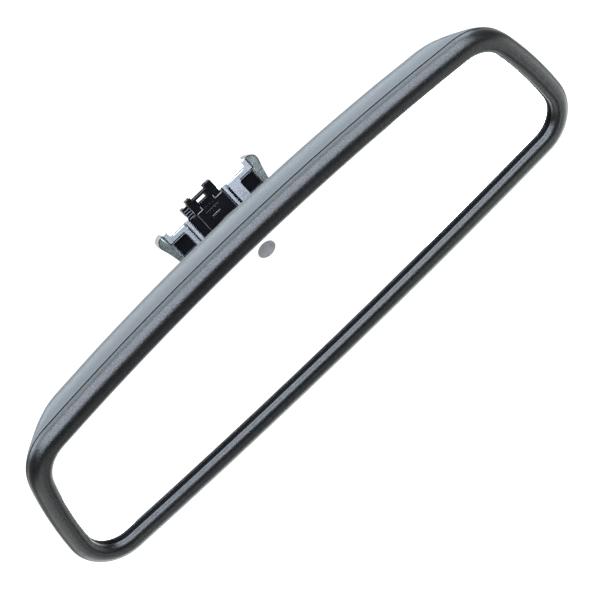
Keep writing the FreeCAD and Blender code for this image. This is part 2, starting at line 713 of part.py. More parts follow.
def make_sensors():
    """Glare sensor at the end of its light tube, ambient sensor that looks backward."""
    make_photodiode("glare", WINDOW_X, WINDOW_Z,
                    body_y=(BOARD_FRONT - 1.0, BOARD_FRONT - 0.1),
                    feet_y=(BOARD_FRONT - 0.35, BOARD_FRONT - 0.02),
                    dome_y=(BOARD_FRONT - 1.6, BOARD_FRONT - 0.5))
    outside = y_cylinder("tube_outside", 3.9, 4.25, BOARD_FRONT - 0.03, WINDOW_X, WINDOW_Z)
    bore = y_cylinder("tube_bore", 3.1, 3, 9, WINDOW_X, WINDOW_Z)
    in_head(cut("light_tube", outside, bore))
    make_photodiode("ambient", AMBIENT_X, AMBIENT_Z,
                    body_y=(BOARD_BACK + 0.1, BOARD_BACK + 1.0),
                    feet_y=(BOARD_BACK + 0.03, BOARD_BACK + 0.35),
                    dome_y=(BOARD_BACK + 0.5, BOARD_BACK + 1.7))
    lens_back = DIM["housing_back"] - 0.45
    flange_base = lens_back - DIM["housing_wall"]
    in_head(fuse("ambient_lens",
                 y_cylinder("lens_barrel", 3.0, BOARD_BACK + 2.0, lens_back - 0.3,
                            AMBIENT_X, AMBIENT_Z),
                 y_cylinder("lens_flange", 4.4, flange_base - 1.35, flange_base - 0.15,
                            AMBIENT_X, AMBIENT_Z),
                 y_cylinder("lens_face", 3.45, flange_base - 0.3, lens_back,
                            AMBIENT_X, AMBIENT_Z)))


def make_head_connection():
    """Board header, the plug in it and the head lead."""
    header = box("header_outside", (40, BOARD_BACK + 0.03, -17.2),
                 (52.5, BOARD_BACK + 6.4, -10.7))
    hollow = box("header_inside", (40.8, BOARD_BACK + 1.2, -16.4),
                 (51.7, BOARD_BACK + 7, -11.5))
    in_head(cut("board_header", header, hollow))
    plug = box("plug_body", (41.0, BOARD_BACK + 1.4, -16.2),
               (51.5, BOARD_BACK + 10.2, -11.7))
    grips = boxes("plug_", [
        ("grip", (42.5, BOARD_BACK + 7.4, -17), (50, BOARD_BACK + 8.0, -15.4)),
        ("grip_two", (42.5, BOARD_BACK + 8.8, -17), (50, BOARD_BACK + 9.4, -15.4))])
    in_head(cut("lead_plug", plug, *grips))
    in_head(round_lead("head_lead", HEAD_LEAD, 1.15))


# ================================================================ rear housing
# The skin is one smooth closed surface: it leaves the seam straight back, turns over
# through an elliptical round whose plan shrinks toward the middle, and runs on across the
# back to a flat ring round the neck. Towards the ends the wall starts already leaning.
LONG_ARC_POINTS = 14
ARC_POINTS = {"top_arc_radius": LONG_ARC_POINTS, "bottom_arc_radius": LONG_ARC_POINTS,
              "top_corner_radius": 5, "bottom_corner_radius": 5, "side_arc_radius": 4}
# where the rings lie, as fractions of each stretch of the skin
WALL_STEPS = (0.0, 0.55, 1.0)
DOMED_ROUND_STEPS = (0.015, 0.055, 0.11, 0.17, 0.235)
PLAIN_ROUND_STEPS = (0.05, 0.2, 0.4, 0.66, 1.0)
DOMED_BACK_STEPS = (0.045, 0.11, 0.19, 0.29, 0.42, 0.60, 0.80, 1.0)
PLAIN_BACK_STEPS = (0.3, 0.65, 1.0)
DOME_STEPS = (0.10, 0.20, 0.31, 0.43, 0.58, 0.78, 1.0)


def smooth_step(t):
    t = min(1.0, max(0.0, t))
    return t * t * (3 - 2 * t)


def smooth_max(first, second, blend):
    overlap = max(blend - abs(first - second), 0.0) / blend
    return max(first, second) + overlap * overlap * blend * 0.25


def smooth_min(first, second, blend):
    return -smooth_max(-first, -second, blend)


def ring_points(outset):
    """Points (x, z) on the outline moved out, always as many, denser near the corners."""
    points = []
    for radius_name, centre_x, centre_z, start, end in OUTLINE:
        count = ARC_POINTS[radius_name]
        radius = DIM[radius_name] + outset
        for i in range(count):
            t = i / count
            if count == LONG_ARC_POINTS:
                t -= 0.65 * math.sin(2 * math.pi * t) / (2 * math.pi)
            angle = start + (end - start) * t
            points.append((centre_x + radius * math.cos(angle),
                           centre_z + radius * math.sin(angle)))
    return points


def skin_rings(outset, front, drop, domed):
    """Rings of points from the seam to the neck.

    outset: outline the skin starts from, front: depth of the first ring, drop: how far
    the back lies inside the outer skin, domed: whether the neck's dome is blended in.
    """
    seam = DIM["housing_front"]
    back = DIM["housing_back"] - drop
    end_back = DIM["housing_end_back"] - drop
    shrink_x, shrink_z = DIM["shrink_x"], DIM["shrink_z"]
    dome_radius, flat = DIM["dome_radius"] - drop, DIM["dome_flat"] - drop
    neck_radius = DIM["neck_flat_radius"]

    def wall(x):
        """Height of the straight wall and the angle at which the round starts."""
        end_share = smooth_step((abs(x) - DIM["taper_from"])
                                / (DIM["taper_to"] - DIM["taper_from"]))
        height = (DIM["skirt_height"] * (1 - end_share)
                  + DIM["skirt_end_height"] * end_share)
        return height, math.radians(DIM["taper_angle"]) * end_share

    def back_at(x):
        return back - (back - end_back) * min(1.0, abs(x) / DIM["back_length"]) ** 3

    def round_depth(x, shrunk):
        """Depth on the round where the plan has shrunk by a fraction."""
        height, first_angle = wall(x)
        angle = math.acos(max(0.0, math.cos(first_angle) * (1 - shrunk)))
        rise = (math.sin(angle) - math.sin(first_angle)) / (1 - math.sin(first_angle))
        return seam + height + (back_at(x) - seam - height) * rise

    def within(x, z, shrunk):
        gap = outline_distance(x / (1 - shrink_x * shrunk), z / (1 - shrink_z * shrunk),
                               1e-6, -30.0)
        return gap - outset <= 0

    def depth(x, z):
        if within(x, z, 1.0):
            return back_at(x / (1 - shrink_x))
        low, high = 0.0, 1.0
        for _ in range(26):
            middle = (low + high) / 2
            if within(x, z, middle):
                low = middle
            else:
                high = middle
        return round_depth(x / (1 - shrink_x * low), low)

    def crown(x, z):
        """Depth with the flat-topped dome blended in."""
        plain = depth(x, z)
        radius = math.hypot(x, z)
        if radius >= dome_radius - 0.2:
            return plain
        sphere = DIM["dome_centre"] + math.sqrt(dome_radius * dome_radius - radius * radius)
        return smooth_max(plain, smooth_min(sphere, flat, 1.6), DIM["dome_blend"])

    # straight wall
    base = ring_points(outset)
    rings = []
    for share in WALL_STEPS:
        rings.append([Vector(x, front + (seam + wall(x)[0] - front) * share, z)
                      for x, z in base])
    # round
    for shrunk in DOMED_ROUND_STEPS if domed else PLAIN_ROUND_STEPS:
        edge = [(x * (1 - shrink_x * shrunk), z * (1 - shrink_z * shrunk)) for x, z in base]
        rings.append([Vector(inner[0], round_depth(outer[0], shrunk), inner[1])
                      for outer, inner in zip(base, edge)])
    # back, from the round's last ring to a circle
    top = max(z for x, z in edge)
    bottom = -min(z for x, z in edge)
    right = max(x for x, z in edge)
    circle_radius = dome_radius - 0.6 if domed else neck_radius
    aims = [math.atan2(z / (top if z > 0 else bottom), x / right) for x, z in edge]
    for share in DOMED_BACK_STEPS if domed else PLAIN_BACK_STEPS:
        ring = []
        for (edge_x, edge_z), aim in zip(edge, aims):
            x = edge_x + (circle_radius * math.cos(aim) - edge_x) * share
            z = edge_z + (circle_radius * math.sin(aim) - edge_z) * share
            if domed:
                y = crown(x, z)
            else:
                y = back if share == 1.0 else back_at(x / (1 - shrink_x))
            ring.append(Vector(x, y, z))
        rings.append(ring)
    # dome
    for share in DOME_STEPS if domed else ():
        radius = circle_radius + (neck_radius - circle_radius) * share
        ring = []
        for aim in aims:
            x, z = radius * math.cos(aim), radius * math.sin(aim)
            ring.append(Vector(x, flat if share == 1.0 else crown(x, z), z))
        rings.append(ring)
    return rings


def skin_solid(name, rings):
    """Tensor spline through the rings, closed by a flat face at each end."""
    around, count = len(rings[0]), len(rings)
    ring_params = [0.0]
    for i in range(around):
        step = (rings[0][(i + 1) % around] - rings[0][i]).Length
        ring_params.append(ring_params[-1] + step)
    depth_params = [0.0]
    for j in range(1, count):
        step = sum((rings[j][i] - rings[j - 1][i]).Length ** 0.5 for i in range(around))
        depth_params.append(depth_params[-1] + step / around)
    ring_poles = []
    for ring in rings:
        ring_curve = Part.BSplineCurve()
        ring_curve.interpolate(Points=ring, Parameters=ring_params, PeriodicFlag=True)
        ring_poles.append(ring_curve.getPoles())
    poles = []
    for i in range(len(ring_poles[0])):
        depth_curve = Part.BSplineCurve()
        depth_curve.interpolate(Points=[row[i] for row in ring_poles],
                                Parameters=depth_params)
        poles.append(depth_curve.getPoles())
    surface = Part.BSplineSurface()
    surface.buildFromPolesMultsKnots(
        poles, ring_curve.getMultiplicities(), depth_curve.getMultiplicities(),
        ring_curve.getKnots(), depth_curve.getKnots(), True, False,
        ring_curve.Degree, depth_curve.Degree)
    face = surface.toShape()
    caps = [Part.Face(Part.Wire([edge])) for edge in face.Edges
            if edge.BoundBox.YLength < 1e-4 and edge.isClosed()]
    shell = Part.makeShell([face] + caps)
    shell.sewShape()
    solid = Part.makeSolid(Part.Shell(shell.Faces))
    if solid.Volume < 0:
        solid.reverse()
    item = doc.addObject("Part::Feature", name)
    item.Shape = solid
    return item


def make_rear_housing():
    """Hollow skin with screw bosses, the neck's opening and the ambient lens's hole."""
    wall = DIM["housing_wall"]
    outside = skin_solid("housing_outside", skin_rings(
        DIM["bezel_width"], DIM["housing_front"], drop=0.0, domed=True))
    hollow = skin_solid("housing_inside", skin_rings(
        DIM["bezel_width"] - wall, DIM["housing_front"] - 0.6, drop=wall, domed=False))
    dome_hollow = common(
        "dome_hollow",
        ball("dome_ball_inside", ("dome_radius", "-housing_wall"),
             (0.0, DIM["dome_centre"], 0.0)),
        y_cylinder("dome_slice_inside", 60, DIM["dome_centre"], DIM["dome_flat"] - wall))
    shell = cut("housing_shell", outside, fuse("housing_cavity", hollow, dome_hollow))
    bosses = []
    for i, (x, z) in enumerate(CASE_SCREWS):
        bosses.append(y_cylinder("case_boss_%d" % i, 3.4, CARRIER_BACK + 0.05, 21.3, x, z))
        bosses.append(box("case_boss_web_%d" % i, (x - 0.6, CARRIER_BACK + 4, z - 5.5),
                          (x + 0.6, 21.2, z + 5.5)))
    solid = fuse_chain("housing_with_bosses", shell, *bosses)
    holes = [y_cylinder("rear_opening", "opening_radius", 26, 38),
             y_cylinder("ambient_hole", 3.5, 18, 30, AMBIENT_X, AMBIENT_Z)]
    for i, (x, z) in enumerate(CASE_SCREWS):
        holes.append(y_cylinder("case_thread_%d" % i, 1.35, 2, 17.5, x, z))
    in_head(cut("rear_housing", solid, *holes))


def make_carrier_screws():
    """Slotted flat-head screws from the carrier into the housing's bosses."""
    screws = []
    for i, (x, z) in enumerate(CASE_SCREWS):
        head = cone("case_screw_head_%d" % i, 3.1, 1.3, 1.6, (x, CARRIER_FRONT + 0.02, z))
        shank = y_cylinder("case_screw_shank_%d" % i, 1.28, CARRIER_FRONT + 1.5, 16.5, x, z)
        slot = box("case_screw_slot_%d" % i, (x - 1.4, CARRIER_FRONT - 0.1, z - 0.25),
                   (x + 1.4, CARRIER_FRONT + 0.8, z + 0.25))
        screws.append(cut("case_screw_cut_%d" % i,
                          fuse("case_screw_%d" % i, head, shank), slot))
    in_head(group("carrier_screws", screws))


def make_neck_ring():
    """Soft trim ring in the rear opening."""
    flat, lip_radius = DIM["dome_flat"], 12.2
    solid = fuse("neck_ring_solid",
                 y_cylinder("neck_ring_barrel", 11.15, flat - 2.6, flat + 0.6),
                 y_cylinder("neck_ring_lip", lip_radius, flat + 0.02, flat + 0.6),
                 y_cylinder("neck_ring_inner_lip", lip_radius, flat - 3.0,
                            flat - DIM["housing_wall"] - 0.03))
    in_head(cut("neck_ring", solid, y_cylinder("neck_ring_bore", 9.8, 20, 40)))


# ================================================================ mount bracket
HALF_WIDTH, HALF_DEPTH = DIM["bracket_half_width"], DIM["bracket_half_depth"]
HEIGHT, WALL = DIM["bracket_height"], DIM["bracket_wall"]
HOOK_TOP, HOOK_OUT = DIM["hook_rise"], DIM["hook_edge"]
HOOK_IN = HOOK_OUT - DIM["hook_width"]
SEAT_THICK = DIM["seat_thick"]
COLLAR_END = 42.98      # head frame depth where the stud's collar meets the hub

# front wall: x, z, corner radius
FRONT_WALL = [
    (-HALF_WIDTH, -HEIGHT, 2.0), (HALF_WIDTH, -HEIGHT, 2.0),
    # right window and hook
    (HALF_WIDTH, -14.0, 0.5), (14.45, -14.0, 0.8), (14.45, -2.35, 1.1),
    (HOOK_OUT, -2.35, 0.3), (HOOK_OUT, HOOK_TOP, 0.6), (HOOK_IN, HOOK_TOP, 0.5),
    (HOOK_IN, 0.0, 1.7),
    # right slit, the connector's gap and left slit
    (10.0, 0.0, 0.3), (10.0, -15.2, 0.3), (9.05, -15.2, 0.3), (9.05, 0.0, 0.2),
    (7.7, 0.0, 0.2), (7.7, -HEIGHT + 5.5, 0.5), (-10.4, -HEIGHT + 5.5, 0.5),
    (-10.4, 0.0, 0.2), (-12.35, 0.0, 0.2), (-12.35, -15.2, 0.25),
    (-13.05, -15.2, 0.25), (-13.05, 0.0, 0.3),
    # left hook and window
    (-HOOK_IN, 0.0, 1.7), (-HOOK_IN, HOOK_TOP, 0.5), (-HOOK_OUT, HOOK_TOP, 0.6),
    (-HOOK_OUT, -2.35, 0.3), (-14.45, -2.35, 1.1), (-14.45, -14.0, 0.8),
    (-HALF_WIDTH, -14.0, 0.5),
]
SIDE_OUT = HALF_WIDTH - 0.2
SIDE_IN = HALF_WIDTH - WALL + 0.9
SIDE_FRONT = -HALF_DEPTH + WALL - 0.4
# side and back walls: x, y, corner radius
SIDE_WALLS = [
    (-SIDE_OUT, SIDE_FRONT, 0), (-SIDE_IN, SIDE_FRONT, 0),
    (-SIDE_IN, HALF_DEPTH - WALL, 1.0), (SIDE_IN, HALF_DEPTH - WALL, 1.0),
    (SIDE_IN, SIDE_FRONT, 0), (SIDE_OUT, SIDE_FRONT, 0),
    (SIDE_OUT, HALF_DEPTH, 2.0), (-SIDE_OUT, HALF_DEPTH, 2.0),
]
# seat plate, ribs beside the connector, inner webs: name, low corner, high corner
BRACKET_PLATES = [
    ("seat_plate", (-HALF_WIDTH + 0.7, -DIM["seat_front"], -SEAT_THICK),
     (HALF_WIDTH - 0.7, HALF_DEPTH - 0.7, 0)),
    ("rib_left", (-12.1, -HALF_DEPTH - 1.5, -HEIGHT + 1), (-10.65, -HALF_DEPTH + 6.5, 0.95)),
    ("rib_right", (7.75, -HALF_DEPTH - 1.5, -HEIGHT + 1), (8.95, -HALF_DEPTH + 6.5, 0.95)),
    ("web_left", (-14.3, -HALF_DEPTH + 0.5, -HEIGHT + 0.7),
     (-12.7, HALF_DEPTH - 0.5, -SEAT_THICK + 0.5)),
    ("web_right", (12.7, -HALF_DEPTH + 0.5, -HEIGHT + 0.7),
     (14.3, HALF_DEPTH - 0.5, -SEAT_THICK + 0.5)),
]


def make_mount_bracket():
    """Cast frame with a seat plate on top and a hub for the stud."""
    front = new_body("bracket_front_wall")
    sketch = new_sketch(front, "front_wall_outline", "-bracket_half_depth")
    add_rounded(sketch, FRONT_WALL)
    extrude(front, "Pad", "front_wall_pad", sketch, "bracket_wall", reverse=True)
    sides = new_body("bracket_side_walls")
    sketch = new_sketch(sides, "side_wall_outline", -HEIGHT + 0.4, "XY_Plane")
    add_rounded(sketch, SIDE_WALLS)
    extrude(sides, "Pad", "side_wall_pad", sketch, ("bracket_height", -0.4))
    plates = boxes("", BRACKET_PLATES)
    hub = stud_cylinder("hub", 7.6, 43.0, 58.0)
    hub_block = box("hub_block", (-13.1, -HALF_DEPTH + 0.3, -HEIGHT + 0.5),
                    (13.1, 3.0, -HEIGHT + 4.0))
    core = fuse_chain("bracket_core", front, sides, *plates, hub, hub_block)
    tools = [stud_cylinder("hub_bore", 4.24, 30, 70),
             stud_cylinder("hub_face", 8.9, 57.0, 66.0),
             stud_cylinder("collar_clear", 7.1, 30.0, COLLAR_END + 0.01)]
    hole_x = DIM["screw_hole_x"] + 4.0
    for side, x in (("left", -hole_x), ("right", hole_x)):
        tools.append(cylinder("seat_hole_" + side, "screw_hole_radius", 6,
                              (x, DIM["screw_hole_y"], -4), (0, 0, 1)))
    in_mount(cut("mount_bracket", core, *tools))


def make_window_inserts():
    """Moulded inserts behind the front wall's windows."""
    inserts = []
    for side, low, high in (("left", -21.4, -14.5), ("right", 14.5, 21.4)):
        block = box("insert_block_" + side, (low + 0.05, -HALF_DEPTH + WALL + 0.05, -16.0),
                    (high - 0.05, HALF_DEPTH - WALL - 6.0, -SEAT_THICK - 0.3))
        step = box("insert_step_" + side, (low - 1, -HALF_DEPTH, -17.0),
                   (high + 1, -HALF_DEPTH + WALL + 1.2, -9.0))
        core = box("insert_core_" + side, (low + 1.4, -HALF_DEPTH + WALL + 2.4, -17.0),
                   (high - 1.4, HALF_DEPTH - WALL - 7.4, -4.0))
        inserts.append(cut("insert_" + side, block, step, core))
    in_mount(group("window_inserts", inserts))


# right-hand spring clip, x and z: outer curve, corner at its foot, curve of its hollow
CLIP_OUTER = [(23.75, -17.0), (23.95, -9.0), (24.9, -4.6), (25.8, -1.6),
              (26.15, 0.4), (25.6, 1.8), (24.4, 2.7), (22.38, 3.15)]
CLIP_FOOT = (22.38, -17.0)
CLIP_HOLLOW = [(23.12, -17.6), (23.3, -9.2), (24.2, -4.8), (25.0, -1.8),
               (25.3, 0.3), (24.85, 1.2), (23.9, 1.9), (22.5, 2.3)]
CLIP_HOLLOW_INNER_X = 21.5
CLIP_WING_X = (21.95, 23.6)
CLIP_PROUD = 0.9        # thickness of the flange in front of the bracket


def make_spring_clip(side, sign):
    """Curved leaf outside a hook, leaning out and curling over at the top."""
    name = "spring_clip_" + side

    def placed(table):
        points = [Vector(sign * x, z, 0) for x, z in table]
        return points if sign > 0 else points[::-1]

    body = new_body(name + "_body")
    sketch = new_sketch(body, name + "_outline", ("-bracket_half_depth", -CLIP_PROUD))
    add_spline_loop(sketch, placed(CLIP_OUTER), placed([CLIP_FOOT]))
    extrude(body, "Pad", name + "_pad", sketch, 15.0, reverse=True)
    # hollow behind the front flange, which leaves the outer leaf
    sketch = new_sketch(body, name + "_hollow", "-bracket_half_depth")
    curve = placed(CLIP_HOLLOW)
    inner_x = sign * CLIP_HOLLOW_INNER_X
    add_spline_loop(sketch, curve,
                    [Vector(inner_x, curve[-1].y, 0), Vector(inner_x, curve[0].y, 0)])
    extrude(body, "Pocket", name + "_hollow_cut", sketch, 30.0)
    # front wing that closes the open side of the window
    low_x, high_x = sorted(sign * x for x in CLIP_WING_X)
    wing = box(name + "_wing", (low_x, -HALF_DEPTH - 0.9, -16.5),
               (high_x, -HALF_DEPTH - 0.1, -3.05))
    in_mount(fuse(name, body, wing))


# ================================================================ connector
FACE = -HALF_DEPTH - 1.7        # y of the connector's front face
UPPER_X = (-7.0, 6.3)
PIN_COUNT, PIN_PITCH, PIN_WIDTH, PIN_CLEAR = 5, 2.05, 0.6, 0.03
PIN_X, PIN_Y = -4.6, -8.9       # left and front faces of the first pin

# name, low corner, high corner
CONNECTOR_SOLIDS = [
    ("lower", (-10.0, FACE, -12.6), (7.3, -4.25, -0.35)),
    ("upper", (UPPER_X[0], FACE + 0.9, -1.0), (UPPER_X[1], -4.6, 5.0)),
    ("ear_left", (-6.7, FACE + 0.9, 4.0), (-4.3, -4.6, 6.4)),
    ("ear_right", (2.9, FACE + 0.9, 4.0), (UPPER_X[1], -4.6, 6.4)),
    ("step_left", (-6.6, FACE, -1.2), (-3.6, FACE + 1.5, -0.15)),
    ("step_right", (3.0, FACE, -1.2), (6.3, FACE + 1.5, -0.15)),
]
CONNECTOR_CUTS = [
    ("see_through", (-3.15, FACE - 1, 2.15), (1.35, 5, 4.0)),
    ("slot", (-3.5, FACE - 1, -0.36), (2.85, FACE + 1.6, 2.0)),
    ("pocket", (-5.4, FACE + 3.2, -4.0), (4.7, -5.6, 9.0)),
    ("ledge", (-3.6, FACE - 1, -2.6), (3.0, FACE + 0.45, -2.3)),
    ("groove", (-2.6, FACE - 1, -5.3), (1.4, FACE + 0.35, -4.9)),
    ("post_groove", (-7.35, FACE - 1, -12.7), (-6.95, FACE + 0.8, -0.9)),
    ("side_cut", (-10.1, FACE - 1, -0.5), (-7.15, FACE + 0.6, 0.5)),
    ("lock_slot", (-10.3, FACE + 0.5, -9.0), (-8.6, -4.4, 0.5)),
]


def pin_row(prefix, clear, z_low, z_high):
    """The row of pins, each grown by clear at its four sides."""
    row = []
    for i in range(PIN_COUNT):
        x = PIN_X + i * PIN_PITCH
        row.append(box("%s_%d" % (prefix, i), (x - clear, PIN_Y - clear, z_low),
                       (x + PIN_WIDTH + clear, PIN_Y + PIN_WIDTH + clear, z_high)))
    return row


def make_connector():
    """Stepped housing between the ribs, with two ears, an opening above and pins."""
    body = fuse("connector_solid", *boxes("connector_", CONNECTOR_SOLIDS))
    cuts = boxes("connector_", CONNECTOR_CUTS)
    # saddle round the hub
    cuts.insert(3, stud_cylinder("connector_saddle", 7.9, 38.0, 60.0))
    cuts += pin_row("pin_slot", PIN_CLEAR, -7.6, 0)
    in_mount(cut("connector_housing", body, *cuts))
    in_mount(group("connector_pins", pin_row("pin", 0.0, -7.5, 1.85)))


def make_connector_lock():
    """Ribbed secondary lock that slides along the connector's left side."""
    pieces = boxes("lock_", [
        ("leaf", (-10.1, FACE + 0.6, -8.4), (-8.75, -5.0, 5.1)),
        ("pad", (-10.1, FACE - 0.1, -0.1), (-7.2, FACE + 0.75, 5.1))])
    for i in range(5):
        z = 0.03 + i * 1.17
        pieces.append(box("lock_grip_%d" % i, (-10.15, FACE - 0.6, z),
                          (-7.3, FACE, z + 0.42)))
    in_mount(fuse("connector_lock", *pieces))


# ================================================================ stud and mount lead
COLLAR_RADIUS = 6.6
COLLAR_START = BALL_Y + 17.8
FLARE_LENGTH = 2.4
NUT_BORE_RADIUS = 4.24
# the lead's path: depths on the stud's axis, then points of the mount frame
LEAD_DEPTHS = (BALL_Y - 5.5, 22.0, 28.0, 34.0, 40.0, 46.0, 52.0, 57.0, 61.0)
LEAD_RETURN = [
    (0.0, 6.6, -10.65), (0.0, 7.9, -8.6), (0.0, 7.8, -6.3), (0.0, 5.9, -4.5),
    (0.0, 3.4, -4.0), (0.0, 0.0, -3.95), (0.0, -4.1, -4.0),
]


def make_ball_stud():
    """Hollow stud with the ball at its front end."""
    solid = fuse("stud_solid",
                 stud_cylinder("stud_stem", "stem_radius", BALL_Y + 2, BALL_Y + 18),
                 ball("stud_ball", "ball_radius", stud_point(BALL_Y)),
                 cone("stud_flare", DIM["stem_radius"], COLLAR_RADIUS, FLARE_LENGTH,
                      stud_point(COLLAR_START - FLARE_LENGTH), STUD_AXIS),
                 stud_cylinder("stud_collar", COLLAR_RADIUS, COLLAR_START, COLLAR_END),
                 stud_cylinder("stud_shank", 4.2, 42.0, 62.4))
    in_mount(cut("ball_stud", solid,
                 stud_cylinder("stud_bore", "stem_bore", 12, 72),
                 stud_cylinder("stud_front_flat", 9, 10, BALL_Y - 7.9)))


def make_stud_fixings():
    """Washer and hexagon nut behind the hub."""
    in_mount(cut("stud_washer", stud_cylinder("washer_disc", 7.2, 57.03, 58.2),
                 stud_cylinder("washer_bore", 4.35, 50, 70)))
    hexagon = doc.addObject("Part::Prism", "nut_hex")
    hexagon.Polygon = 6
    hexagon.Circumradius = 6.8
    hexagon.Height = 3.4
    hexagon.Placement = Placement(Vector(*stud_point(58.25)), along(STUD_AXIS))
    in_mount(cut("stud_nut", hexagon, stud_cylinder("nut_bore", NUT_BORE_RADIUS, 50, 75)))


def make_mount_lead():
    """Lead from the connector through the hollow stud."""
    path = [stud_point(depth) for depth in LEAD_DEPTHS] + LEAD_RETURN
    in_mount(round_lead("mount_lead", path, 1.45))


# ================================================================ build
make_bezel()
make_glass_cell()
make_contact_strips()
make_sensor_window()
make_carrier_plate()
make_socket_liner()
make_socket_cup()
make_socket_block()
make_socket_retainer()
make_spring_washer()
make_circuit_board()
make_microcontroller()
make_board_parts()
make_sensors()
make_head_connection()
make_rear_housing()
make_carrier_screws()
make_neck_ring()
make_mount_bracket()
make_window_inserts()
make_spring_clip("left", -1)
make_spring_clip("right", 1)
make_connector()
make_connector_lock()
make_ball_stud()
make_stud_fixings()
make_mount_lead()

# ================================================================ check and write
doc.recompute()
failed = [(item.Name, item.State) for item in doc.Objects
          if {"Invalid", "Error"} & {str(state) for state in item.State}]
if failed:
    raise RuntimeError("failed objects: %r" % failed)
labels = set()
for piece in NODES:
    if piece.Shape.isNull() or not piece.Shape.isValid() or not piece.Shape.Solids:
        raise RuntimeError("bad shape: " + piece.Label)
    if piece.Label in labels:
        raise RuntimeError("label used twice: " + piece.Label)
    labels.add(piece.Label)
for piece in NODES:
    piece.Shape.exportStep("parts/%s.step" % piece.Label)
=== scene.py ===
# A rear-view mirror: a wide head on a mount with spring clips, a connector and a lock.
# The head's long axis lies along X and its front looks toward -Y, where the camera is.
# The mount's frame shares the origin but is turned 30 degrees about X, so its Z leans to +Y.
# Right is +X and left is -X.
import bpy
import bmesh
import json
import math
from mathutils import Vector, Matrix


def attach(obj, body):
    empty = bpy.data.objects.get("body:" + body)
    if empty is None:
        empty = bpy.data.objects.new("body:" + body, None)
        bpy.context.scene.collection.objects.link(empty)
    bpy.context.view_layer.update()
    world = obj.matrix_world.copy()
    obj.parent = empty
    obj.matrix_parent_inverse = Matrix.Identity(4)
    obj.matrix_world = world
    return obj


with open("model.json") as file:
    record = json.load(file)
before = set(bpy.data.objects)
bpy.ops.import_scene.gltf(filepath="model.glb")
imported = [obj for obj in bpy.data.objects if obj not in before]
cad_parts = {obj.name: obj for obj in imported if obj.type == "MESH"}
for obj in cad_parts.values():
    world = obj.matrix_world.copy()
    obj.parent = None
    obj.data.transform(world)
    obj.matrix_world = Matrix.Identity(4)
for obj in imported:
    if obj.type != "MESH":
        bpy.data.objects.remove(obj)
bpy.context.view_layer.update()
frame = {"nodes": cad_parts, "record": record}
nodes = frame["nodes"]
scene = bpy.context.scene

# ---------------------------------------------------------------- shader building
materials = {}  # every material made here, by name


class Shader:
    """A Principled material whose textures lie in object coordinates."""

    def __init__(self, name):
        self.material = bpy.data.materials.new(name)
        self.material.use_nodes = True
        self.tree = self.material.node_tree
        self.tree.nodes.clear()
        output = self.node("ShaderNodeOutputMaterial")
        self.bsdf = self.node("ShaderNodeBsdfPrincipled")
        self.feed(output.inputs[0], self.bsdf.outputs[0])
        self.coords = self.node("ShaderNodeTexCoord").outputs["Object"]
        materials[name] = self.material

    def feed(self, socket, value):
        # link another node's output, or set a plain value
        if isinstance(value, bpy.types.NodeSocket):
            self.tree.links.new(value, socket)
        else:
            socket.default_value = value

    def node(self, kind, inputs=None, **settings):
        made = self.tree.nodes.new(kind)
        for key, value in settings.items():
            setattr(made, key, value)
        for key, value in (inputs or {}).items():
            self.feed(made.inputs[key], value)
        return made

    def set(self, **inputs):
        # Principled inputs, with underscores for the spaces in their names
        for key, value in inputs.items():
            self.feed(self.bsdf.inputs[key.replace("_", " ")], value)

    def noise(self, scale, detail=2.0, rough=0.5, stretch=None):
        vector = self.coords
        if stretch:
            mapping = self.node("ShaderNodeMapping", {"Scale": stretch, "Vector": vector})
            vector = mapping.outputs[0]
        return self.node("ShaderNodeTexNoise", {
            "Scale": scale, "Detail": detail, "Roughness": rough, "Vector": vector,
        }).outputs["Fac"]

    def ramp(self, factor, ends, colours):
        made = self.node("ShaderNodeValToRGB", {0: factor})
        for element, position, colour in zip(made.color_ramp.elements, ends, colours):
            element.position = position
            element.color = (*colour, 1)
        return made.outputs[0]

    def remap(self, factor, source, target):
        return self.node("ShaderNodeMapRange", {
            "From Min": source[0], "From Max": source[1],
            "To Min": target[0], "To Max": target[1], "Value": factor,
        }).outputs[0]

    def mix(self, first, second, share):
        # weighted sum, share being the weight of the first
        parts = [self.node("ShaderNodeMath", {0: value, 1: weight}, operation="MULTIPLY").outputs[0]
                 for value, weight in ((first, share), (second, 1 - share))]
        return self.node("ShaderNodeMath", {0: parts[0], 1: parts[1]}, operation="ADD").outputs[0]

    def bump(self, height, strength, depth):
        return self.node("ShaderNodeBump", {
            "Strength": strength, "Distance": depth, "Height": height,
        }).outputs[0]


WIDE = (0.3, 0.7)      # parts of the noise range that are spread
NARROW = (0.35, 0.65)  # over a whole ramp


def varied(colour, variation):
    return (tuple(x * (1 - variation) for x in colour),
            tuple(min(1, x * (1 + variation)) for x in colour))


# rough is a (least, most) pair, depth the bump height in metres, variation the colour swing
def plastic(name, colour, rough, grain=2600.0, depth=0.00006, strength=0.5, variation=0.12,
            specular=0.5, speckle=0.0):
    # pebble grain, slow colour and roughness changes, and optionally speckled highlights
    shader = Shader(name)
    slow = shader.noise(scale=28.0, detail=3.0)
    middle = shader.noise(scale=420.0)
    tint = shader.mix(slow, middle, share=0.6)
    shader.set(Base_Color=shader.ramp(tint, NARROW, varied(colour, variation)))
    shader.set(Roughness=shader.remap(shader.mix(slow, middle, share=0.5), NARROW, rough))
    pebbles = shader.noise(scale=grain, detail=1.0, rough=0.6)
    shader.set(Normal=shader.bump(pebbles, strength, depth), Specular_IOR_Level=specular)
    if speckle:
        specks = shader.noise(scale=grain * 0.95, detail=1.0, rough=0.6)
        levels = (specular * (1 - speckle), specular * (1 + speckle))
        shader.set(Specular_IOR_Level=shader.remap(specks, NARROW, levels))


